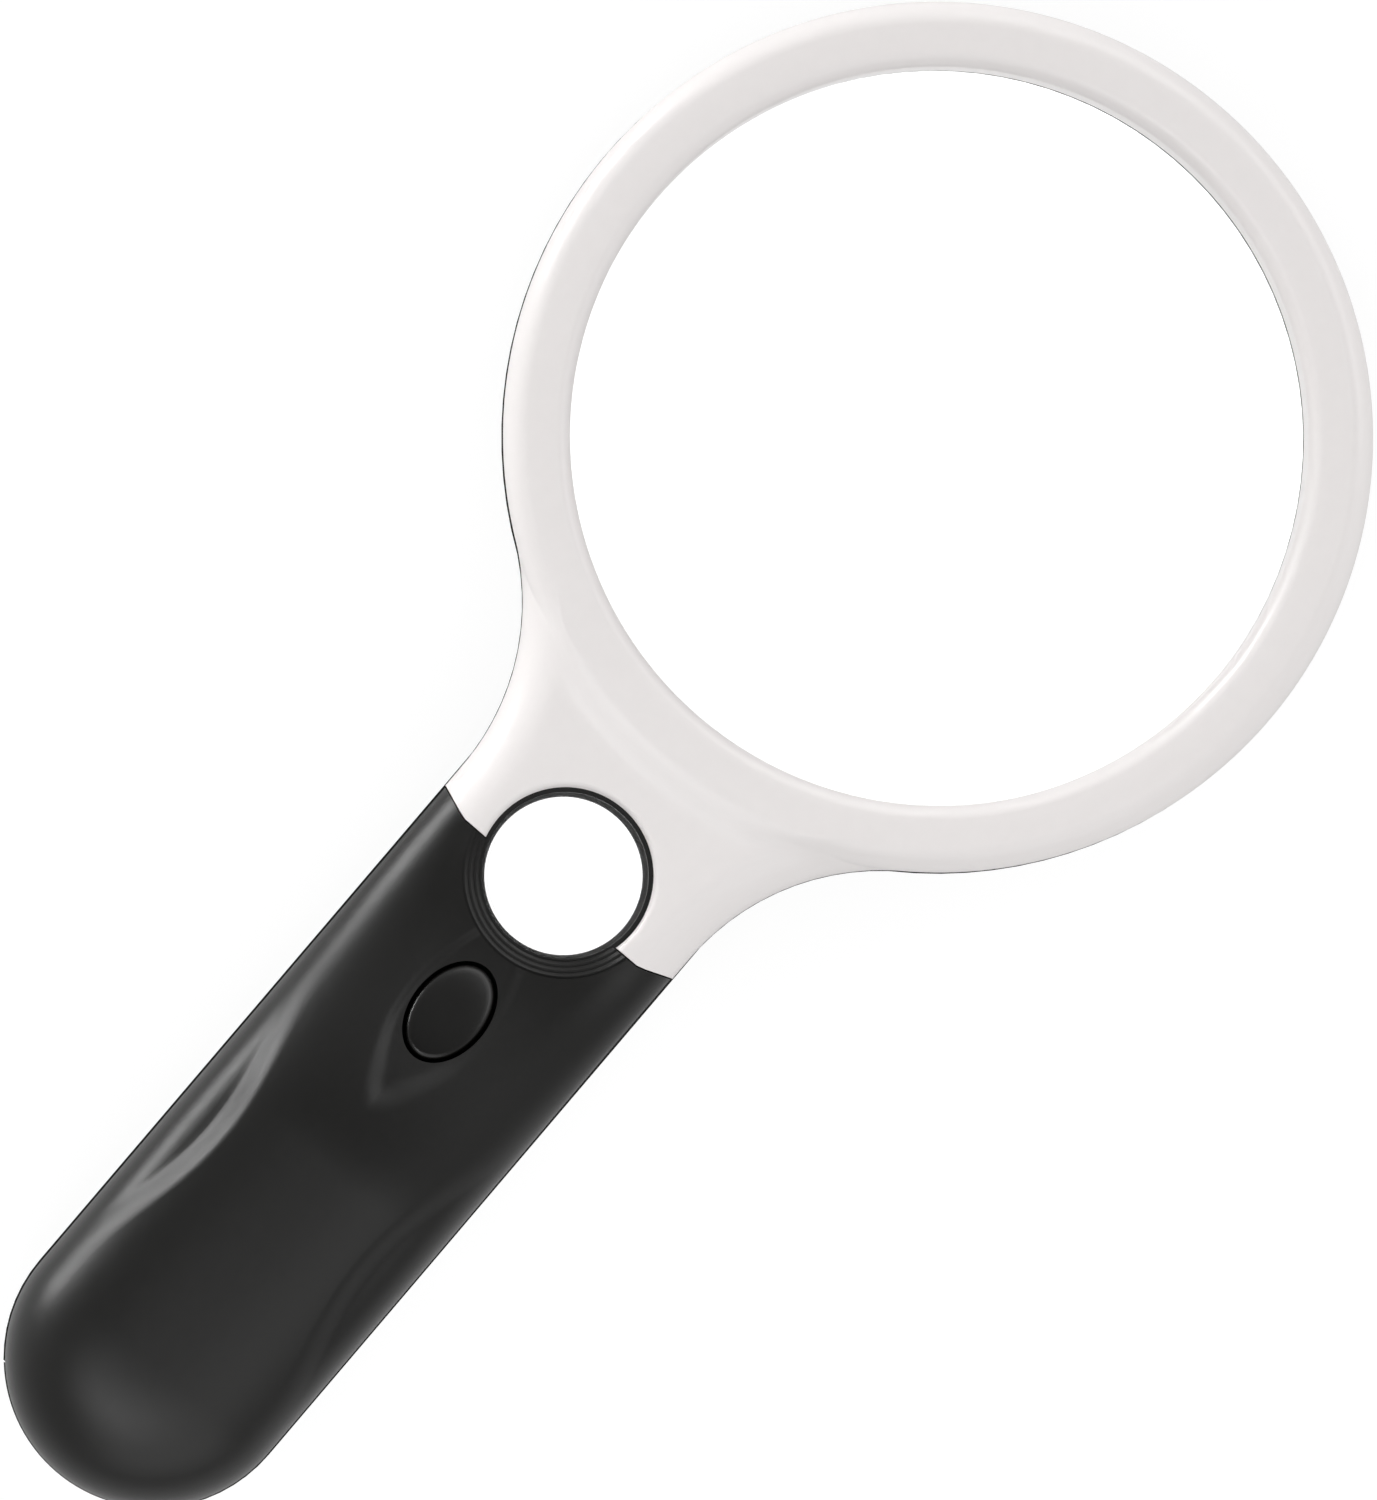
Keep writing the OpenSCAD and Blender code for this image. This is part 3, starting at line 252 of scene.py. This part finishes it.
def bezel_ray(angle):
    """The surface from the ring's flat face out to the outline, as [radius, height]."""
    start = rim_r - edge_w
    if abs(angle) >= neck_angle:
        return [(rim_r - edge_w * (1 - math.sin(a)), face_z - edge_h * (1 - math.cos(a)))
                for a in (math.pi / 2 * i / 24 for i in range(25))] + [(ring_r - ledge, joint_z)]
    low_r, high_r = ring_r - 0.5, (small_s + 4.5) / math.cos(angle)
    if edge_distance(high_r * math.sin(abs(angle)), high_r * math.cos(angle)) < side_gap:
        for _ in range(40):
            middle = (low_r + high_r) / 2
            x, s = middle * math.sin(abs(angle)), middle * math.cos(angle)
            inside = edge_distance(x, s) > side_gap
            low_r, high_r = (middle, high_r) if inside else (low_r, middle)
    end = max(rim_r, high_r)
    line, ray_steps = [], 400
    for i in range(ray_steps + 1):
        r = start + (end - start) * math.sin(math.pi / 2 * i / ray_steps)
        x, s = r * math.sin(angle), r * math.cos(angle)
        soft = 0.01 + 1.6 * eased((edge_distance(x, s) - 0.5) / 5)
        near_side = blended(ring_height(r), neck_height(x, s, r), soft)
        past_face = eased((r - start - 0.6) / ramp_w)
        ramp = neck_height(x, s, ring_r + 9) + (face_z - neck_z) * (1 - past_face)
        height = near_side + (ramp - near_side) * eased((edge_distance(x, s) - 1.5) / 6)
        line.append((r, min(face_z, height)))
    return line + [(max(high_r - ledge + side_gap, ring_r - ledge), joint_z)]


def even_steps(line, count):
    """The same line with its points spaced evenly along it."""
    far = [0.0]
    for a, b in zip(line, line[1:]):
        far.append(far[-1] + math.dist(a, b))
    out, spot = [], 0
    for i in range(count + 1):
        want = far[-1] * i / count
        while spot < len(far) - 2 and far[spot + 1] < want:
            spot += 1
        part = (want - far[spot]) / max(1e-9, far[spot + 1] - far[spot])
        out.append(tuple(a + (b - a) * part for a, b in zip(line[spot], line[spot + 1])))
    return out


def closed_faces(turns, rows):
    """The faces of a ring-shaped form: one closed line of points, repeated at each turn."""
    return [(c * rows + k, c * rows + (k + 1) % rows,
             (c + 1) % turns * rows + (k + 1) % rows, (c + 1) % turns * rows + k)
            for c in range(turns) for k in range(rows)]


neck_steps, ring_steps = 150, 200
angles = [-neck_angle + 2 * neck_angle * i / neck_steps for i in range(neck_steps)]
rest = 2 * math.pi - 2 * neck_angle
angles += [neck_angle + rest * i / ring_steps for i in range(ring_steps)]
bevel_w, bevel_h = 1.5, 2
mouth = [(view_r, joint_z), (view_r, face_z - 2.6)]
mouth += [(view_r + bevel_w * (1 - math.sin(a)), face_z - bevel_h * (1 - math.cos(a)))
          for a in (math.pi / 2 * (1 - i / 12) for i in range(13))]
mouth += [(view_r + 2.5, face_z), (view_r + 3.5, face_z)]
points = []
for angle in angles:
    line = mouth + even_steps(bezel_ray(angle if angle < math.pi else angle - 2 * math.pi), 80)
    points += [(r * math.sin(angle), r * math.cos(angle), z) for r, z in line]
faces = closed_faces(len(angles), len(line))
white_shell, p = start_material("white_abs")
fine = p.node("TexNoise", Scale=9000.0, Detail=2.0)
cloud = p.node("TexNoise", Scale=60.0, Detail=3.0)
tone = 0.985 + cloud * 0.03
colour = p.node("CombineColor", Red=tone * 0.898, Green=tone * 0.864, Blue=tone * 0.855)
bumps = p.node("Bump", Strength=0.06, Distance=0.00005, Height=fine)
end_material(white_shell, p.node("BsdfPrincipled", Base_Color=colour, Roughness=0.30 + cloud * 0.10,
                                 Normal=bumps, Coat_Weight=0.15))
bezel = make_piece("front_bezel", points, faces, white_shell, "housing", "lens_bezel")


def turned(profile, centre_s, sides=128):
    """A closed profile of [radius, height], turned about an axis down the handle."""
    turns = [2 * math.pi * i / sides for i in range(sides)]
    points = [(r * math.cos(a), centre_s + r * math.sin(a), z) for a in turns for r, z in profile]
    return points, closed_faces(sides, len(profile))


def upright(outline, low_z, high_z):
    """A prism on an outline of [x, distance down the handle]."""
    n = len(outline)
    points = [(x, s, z) for z in (low_z, high_z) for x, s in outline]
    faces = [tuple(range(n)), tuple(range(2 * n - 1, n - 1, -1))]
    faces += [(i, (i + 1) % n, n + (i + 1) % n, n + i) for i in range(n)]
    return points, faces


def cut(piece, points, faces):
    """Takes a closed form away from a piece."""
    tool = make_piece("tool", points, faces, None, None)
    step = piece.modifiers.new("cut", "BOOLEAN")
    step.operation, step.solver, step.object = "DIFFERENCE", "EXACT", tool
    depsgraph = bpy.context.evaluated_depsgraph_get()
    depsgraph.update()
    mesh = bpy.data.meshes.new_from_object(piece.evaluated_get(depsgraph))
    piece.modifiers.clear()
    old, piece.data = piece.data, mesh
    bpy.data.meshes.remove(old)
    bpy.data.objects.remove(tool)


def smooth_faces(piece, degrees=32):
    piece.data.shade_smooth()
    piece.data.set_sharp_from_angle(angle=math.radians(degrees))


def joint_line(gap):
    """The wavy line across the neck where the bezel meets the handle cover."""
    x, seam_s, side_s = half_w - 2.9, small_s + 2.3 + gap, small_s + 0.9 + gap
    return [(-half_w - 2, side_s), (-half_w + 0.2, side_s), (-x, seam_s - 0.3), (-x + 1, seam_s),
            (x - 1, seam_s), (x, seam_s - 0.3), (half_w - 0.2, side_s), (half_w + 2, side_s)]


small_open, lip_round, axis = 8.85, 0.7, 0.001
lip_r = small_open + 0.25
lip = [(lip_r + lip_round - lip_round * math.cos(a), neck_z - lip_round + lip_round * math.sin(a))
       for a in (math.radians(10 * i) for i in range(9))]
lip += [(lip[-1][0], face_z + 3), (axis, face_z + 3), (axis, joint_z - 1), (lip_r, joint_z - 1)]
cut(bezel, *turned(lip, small_s))
below = [(half_w + 2, small_s + 30), (-half_w - 2, small_s + 30)]
cut(bezel, *upright(joint_line(0) + below, joint_z - 1, face_z + 3))
smooth_faces(bezel)

# ---- Handle cover ----
# The black front shell of the handle: one crowned moulding in satin ABS that rises from the
# neck, with a finger scoop along each side and a tear-shaped hollow round the button. Its
# surface follows lines that run down one side, round the end and back.
low, high = (Vector(corner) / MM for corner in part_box("handle_cover"))
cover_w, crown_z = high.x, high.z
tail_s = centre_y - low.y - cover_w
low, high = (Vector(corner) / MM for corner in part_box("power_button"))
button_s = centre_y - (low.y + high.y) / 2
button_half = (high.y - low.y) / 2
wall, swell_length = 1.8, 34
scoop_s, scoop_half, scoop_depth = button_s + 24.8, 19, 0.9
crease_in, crease_dip, slope_in = 1.1, 2.8, 2.4
recess_w, recess_depth, slit = 5.3, 0.5, 1.0
crown_steps, down_steps, end_steps = 64, 130, 48


def swell(s):
    """How far the handle has risen, from 0 at the neck to 1 at its full height."""
    return eased((s - small_s - 4.4) / swell_length)


def crown_at(s):
    """The height of the handle's middle line."""
    return neck_z + (crown_z - neck_z) * swell(s)


def dome(x, s, shrink):
    """The crowned section: flat in its middle at the neck, fully rounded further down."""
    w = cover_w - shrink
    flat = min((cover_w - neck_round) * (1 - eased((s - small_s) / swell_length)), w - 1)
    part = max(0.0, min(1.0, (abs(x) - flat) / (w - flat)))
    n, m = 2 + 0.5 * swell(s), 2 + 1.2 * swell(s)
    return joint_z + (crown_at(s) - shrink - joint_z) * (1 - part ** n) ** (1 / m)


def scoop(s):
    u = (s - scoop_s) / scoop_half
    return (1 - u * u) ** 2 if abs(u) < 1 else 0.0


def crease_x(s):
    """The deepest line of a finger scoop."""
    return cover_w - crease_in - crease_dip * scoop(s)


def scoop_drop(x, s):
    c = crease_x(s)
    e = c - slope_in
    if x <= e:
        depth = 0.0
    elif x < c:
        depth = eased((x - e) / (c - e))
    else:
        depth = max(0.0, (cover_w - x) / (cover_w - c))
    return scoop_depth * scoop(s) * depth


def recess_x(s):
    """Half the width of the tear-shaped hollow, which never quite closes."""
    length, power = (17, 1.3) if s < button_s else (15, 1.0)
    u = (s - button_s) / length
    return max(slit, recess_w * (1 - u * u) ** power) if abs(u) < 1 else slit


def recess_drop(x, s, slope_w):
    slope_w += 1.6 * eased((s - button_s - 3) / 8)
    half = recess_x(s)
    return recess_depth * eased((half - slit) / 2) * eased((half - x) / slope_w)


def cover_line(part, outer):
    """One line, from 0 at the joint to 1 at the crown, as points down, round and back."""
    shrink = 0.0 if outer else wall

    def across(s):
        if not outer:
            return (cover_w - wall) * part
        c = crease_x(s)
        marks = [cover_w, c, c - slope_in, recess_x(s), 0.1]
        spot = min(3, int(part * 4))
        step = part * 4 - spot
        if spot == 0:
            step = step ** 1.7
        return marks[spot] + (marks[spot + 1] - marks[spot]) * step

    def height(x, s, slope_w=2.0):
        drop = recess_drop(x, s, slope_w)
        drop = drop if outer else max(0.0, drop - 0.4)
        return dome(x, s, shrink) - scoop_drop(x * cover_w / (cover_w - shrink), s) - drop

    start = small_s - 2
    stations = [start + (tail_s - start) * i / down_steps for i in range(down_steps + 1)]
    down = [(across(s), s, height(across(s), s)) for s in stations]
    x = across(tail_s)
    z = height(x, tail_s)
    round_end = [(x * math.cos(a), tail_s + x * math.sin(a), z)
                 for a in (math.pi * i / end_steps for i in range(1, end_steps))]
    return down + round_end + [(-px, s, height(px, s, 1.2)) for px, s, _ in reversed(down)]


lines = [cover_line(1 - i / crown_steps, True) for i in range(crown_steps + 1)]
lines += [cover_line(k, False) for k in (1, 0.995, 0.97, 0.92, 0.84, 0.7, 0.5, 0.3, 0.01)]
n, last = len(lines[0]), len(lines) - 1
points = [point for line in lines for point in line]
middle = (n - 1) // 2
faces = [(r * n + i, r * n + i + 1, (r + 1) * n + i + 1, (r + 1) * n + i)
         for r in range(last) for i in range(n - 1)]
# The narrow strips along the middle, outside and inside, and then the flat end at the neck.
for r in (0, last):
    faces += [(r * n + i, r * n + i + 1, r * n + n - 2 - i, r * n + n - 1 - i)
              for i in range(middle - 1)]
    faces.append((r * n + middle - 1, r * n + middle, r * n + middle + 1))
faces.append(tuple(r * n for r in range(last + 1))
             + tuple(r * n + n - 1 for r in range(last, -1, -1)))


def black_abs(name, dullness):
    made, p = start_material(name)
    fine = p.node("TexNoise", Scale=6000.0, Detail=3.0, Roughness=0.6)
    cloud = p.node("TexNoise", Scale=45.0, Detail=4.0)
    tone = 0.9 + cloud * 0.2
    colour = p.node("CombineColor", Red=tone * 0.0050, Green=tone * 0.0048, Blue=tone * 0.0043)
    bumps = p.node("Bump", Strength=0.12, Distance=0.00006, Height=fine)
    return end_material(made, p.node("BsdfPrincipled", Base_Color=colour, IOR=1.45,
                                     Roughness=cloud * 0.06 + dullness, Normal=bumps))


black_shell = black_abs("black_abs", 0.32)
cover = make_piece("handle_top", points, faces, black_shell, "housing", "handle_cover")
seam_gap = 0.15
above = [(half_w + 2, small_s - 20), (-half_w - 2, small_s - 20)]
cut(cover, *upright(joint_line(seam_gap) + above, joint_z - 1, crown_z + 3))
stair_count, stair_w, stair_h = 3, 0.6, 0.45
stairs = [(axis, joint_z - 1), (small_open, joint_z - 1)]
for i in range(stair_count):
    edge, tread = small_open + stair_w * i, neck_z - stair_h * (stair_count - i)
    stairs += [(edge, tread - 0.26), (edge + 0.05, tread - 0.20), (edge + 0.33, tread),
               (edge + stair_w, tread)]
stairs += [(edge + stair_w, neck_z + 3), (axis, neck_z + 3)]
cut(cover, *turned(stairs, small_s))
button_w, play = 3.7, 0.4
oval = [2 * math.pi * i / 96 for i in range(96)]
hole = [((button_w + play) * math.cos(a), button_s + (button_half + play) * math.sin(a))
        for a in oval]
cut(cover, *upright(hole, joint_z, crown_z + 3))
smooth_faces(cover)

# ---- Battery door and rear housing ----
# The back shell, one deep black moulding under the ring, neck and handle, and the door that
# slides off its end. They are moulded in the handle cover's plastic, and their solids have the
# true shape, so they keep it.
def recolour(node, material):
    """Gives another finish to a solid that keeps its own shape."""
    node.data.materials.clear()
    node.data.materials.append(material)


for name in ("rear_housing", "battery_door"):
    recolour(nodes[name], black_shell)

# ---- Power button ----
# A small oval cap in the same black plastic, rounded over at its edge, that stands a little
# out of its hollow and slopes with the handle.
low, high = (Vector(corner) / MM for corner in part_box("power_button"))
slope = (crown_at(button_s + 3) - crown_at(button_s - 3)) / 6
button_top = crown_at(button_s) + 0.1
layers = [(0.3, low.z, 0), (0, low.z + 0.3, 0), (0, button_top - 0.9, 1)]
layers += [(0.75 * (1 - math.cos(a)), button_top - 0.75 + 0.6 * math.sin(a), 1)
           for a in (math.radians(7.5 * i) for i in range(1, 11))]
layers += [(0.95, button_top - 0.12, 1), (1.6, button_top - 0.07, 1),
           (2.5, button_top - 0.02, 1), (button_w - 0.01, button_top, 1)]
points = [((button_w - inset) * math.cos(a), button_s + (button_half - inset) * math.sin(a),
           z + slope * (button_half - inset) * math.sin(a) * tilt)
          for inset, z, tilt in layers for a in oval]
n, last = len(oval), len(layers) - 1
faces = [(k * n + i, k * n + (i + 1) % n, (k + 1) * n + (i + 1) % n, (k + 1) * n + i)
         for k in range(last) for i in range(n)]
faces += [tuple(range(n - 1, -1, -1)), tuple(last * n + i for i in range(n))]
gloss_black = black_abs("gloss_black_abs", 0.15)
button = make_piece("button_cap", points, faces, gloss_black, "button", "power_button")
smooth_faces(button, 50)

# ---- The two lenses ----
# Clear acrylic, bulging on both sides inside a flat rim. The large one is held between the two
# shells, and the small one, which is much stronger, is held down by its barrel.
lens_glass, p = start_material("clear_acrylic")
end_material(lens_glass, p.node("BsdfPrincipled", Base_Color=(1, 1, 1, 1), Roughness=0.0,
                                IOR=1.49, Transmission_Weight=1.0))
for name, made_name, view, edge in (("main_lens", "large_lens", view_r, 3.0),
                                    ("small_lens", "strong_lens", 8.2, 2.7)):
    low, high = (Vector(corner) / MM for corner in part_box(name))
    rim, s = (high.x - low.x) / 2, centre_y - (low.y + high.y) / 2
    bulge = (high.z - low.z - edge) / 2
    r = view - 0.1
    ball = (r * r + bulge * bulge) / (2 * bulge)
    arc = [(ball * math.sin(a), bulge - ball * (1 - math.cos(a)))
           for a in (math.asin(r / ball) * (i + 0.02) / 48.02 for i in range(49))]
    back, front = low.z + bulge, low.z + bulge + edge
    line = [(x, back - z) for x, z in arc] + [(rim, back), (rim, front)]
    line += [(x, front + z) for x, z in reversed(arc)]
    lens = make_piece(made_name, *turned(line, s, sides=192), lens_glass, "housing", name)
    smooth_faces(lens)

# ---- Small lens's holder ----
# The black barrel that holds the small lens down on its seat and lines the opening over it.
# It shows as the dark ring inside the steps.
recolour(nodes["small_lens_holder"], black_shell)

# ---- Solids that keep their own shape ----
# The rear shell, the door, the holder and all that is inside: cells, contacts, switch, boards,
# LEDs, leads and screws. Their round faces are shaded smooth and their edges stay sharp.
for node in nodes.values():
    node.data.polygons.foreach_set("use_smooth", [True] * len(node.data.polygons))
    weld = node.modifiers.new("weld", "WELD")
    weld.merge_threshold = 1e-6
    split = node.modifiers.new("edges", "EDGE_SPLIT")
    split.split_angle = math.radians(30)
